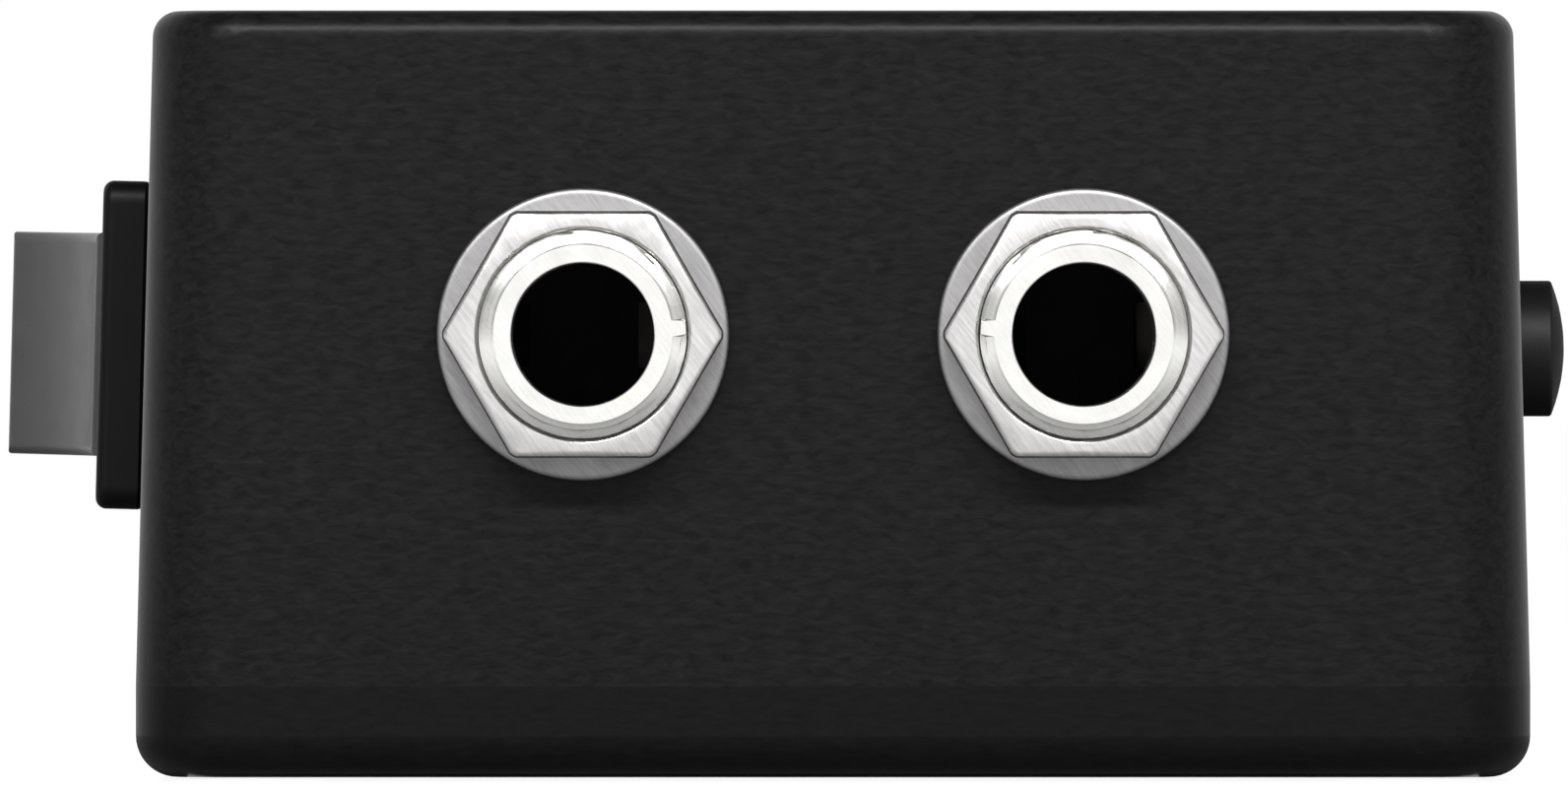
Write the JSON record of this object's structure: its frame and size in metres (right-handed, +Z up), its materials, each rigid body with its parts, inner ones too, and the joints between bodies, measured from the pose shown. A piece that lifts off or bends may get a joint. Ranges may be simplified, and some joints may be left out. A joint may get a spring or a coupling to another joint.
{
  "type": "headphone amplifier",
  "caption": "Pocket headphone amplifier: dark cast box with quarter-inch jacks on one end, a rocker and a push button on its sides, and a volume knob on the other end.",
  "frame": {"origin": "middle of the lid's underside, on which the amplifier rests", "axes": "-Y out of the jacks, +Y out of the volume knob, -X out of the rocker, +X out of the push button, +Z up"},
  "size_m": [0.0731, 0.1155, 0.0352],
  "materials": {
    "black_case": "satin",
    "black_lid": "satin",
    "bright_nickel": "satin",
    "polished_nickel": "polished",
    "zinc_steel": "satin",
    "spring_steel": "satin",
    "contact_metal": "satin",
    "silver_contact": "satin",
    "black_nylon": "satin",
    "black_gloss": "gloss",
    "black_rubbery": "matte",
    "knob_black": "satin",
    "white_paint": "satin",
    "green_board": "satin",
    "brown_board": "matte",
    "chip_epoxy": "matte",
    "can_sleeve": "gloss",
    "film_box": "satin",
    "resistor_body": "satin",
    "tinned_wire": "satin",
    "red_lamp": "gloss",
    "battery_can": "satin",
    "red_wire": "satin",
    "black_wire": "satin"
  },
  "bodies": {
    "enclosure": {"top_shell": "black_case", "bottom_lid": "black_lid", "lid_screws": "zinc_steel", "main_board": "green_board", "board_screws": "zinc_steel", "amplifier_chips": "chip_epoxy", "chip_legs": "tinned_wire", "electrolytic_capacitors": "can_sleeve", "film_capacitors": "film_box", "capacitor_leads": "tinned_wire", "resistors": "resistor_body", "rocker_frame": "black_nylon", "rocker_common_terminal": "silver_contact", "rocker_output_terminal": "silver_contact", "rocker_leads": "black_wire", "mono_button_spring": "spring_steel", "mono_button_case": "black_nylon", "mono_button_pins": "tinned_wire", "mono_button_board": "green_board", "volume_case": "black_nylon", "volume_bush": "bright_nickel", "volume_washer": "bright_nickel", "volume_nut": "bright_nickel", "volume_tracks": "brown_board", "volume_pins": "tinned_wire", "power_lamp": "red_lamp", "lamp_bezel": "polished_nickel", "lamp_leads": "tinned_wire", "battery": "battery_can", "battery_snaps": "zinc_steel", "battery_connector": "black_rubbery", "battery_lead_red": "red_wire", "battery_lead_black": "black_wire", "battery_holder": "spring_steel", "holder_rivets": "zinc_steel", "input_jack_bush": "polished_nickel", "input_jack_nut": "bright_nickel", "input_jack_washer": "bright_nickel", "input_jack_housing": "black_nylon", "input_jack_tip_contact": "silver_contact", "input_jack_ring_contact": "silver_contact", "input_jack_sleeve_contact": "silver_contact", "phones_jack_bush": "polished_nickel", "phones_jack_nut": "bright_nickel", "phones_jack_washer": "bright_nickel", "phones_jack_housing": "black_nylon", "phones_jack_tip_contact": "silver_contact", "phones_jack_ring_contact": "silver_contact", "phones_jack_sleeve_contact": "silver_contact"},
    "power_rocker": {"rocker_button": "black_gloss", "rocker_plunger": "white_paint", "rocker_spring": "spring_steel"},
    "rocker_contact": {"rocker_contact_arm": "contact_metal"},
    "mono_button": {"mono_button_cap": "black_gloss", "mono_button_stem": "black_nylon"},
    "volume_control": {"volume_shaft": "zinc_steel", "volume_wipers": "brown_board", "volume_knob": "knob_black", "knob_pointer": "white_paint", "knob_set_screw": "zinc_steel"}
  },
  "joints": [
    {"name": "rocker_rock", "type": "hinge", "parent": "enclosure", "child": "power_rocker", "pos_m": [-0.03225, -0.013, 0.01987], "axis": [-0.0262, 0, -0.9997], "range_deg": [0, 31]},
    {"name": "contact_arm_rock", "type": "hinge", "parent": "enclosure", "child": "rocker_contact", "pos_m": [-0.02325, -0.013, 0.01963], "axis": [0.0262, 0, 0.9997], "range_deg": [0, 14]},
    {"name": "mono_button_press", "type": "slide", "parent": "enclosure", "child": "mono_button", "axis": [-1, 0, 0], "range_m": [0, 0.0018], "stiffness_N_per_m": 600, "springref_m": -0.001, "deforming": ["mono_button_spring"]},
    {"name": "volume_turn", "type": "hinge", "parent": "enclosure", "child": "volume_control", "pos_m": [0, 0.049, 0.02033], "axis": [0, 1, 0], "range_deg": [-150, 150]}
  ],
  "couplings": [
    {"joint": "contact_arm_rock", "follows": "rocker_rock", "ratio": 0.45161}
  ]
}
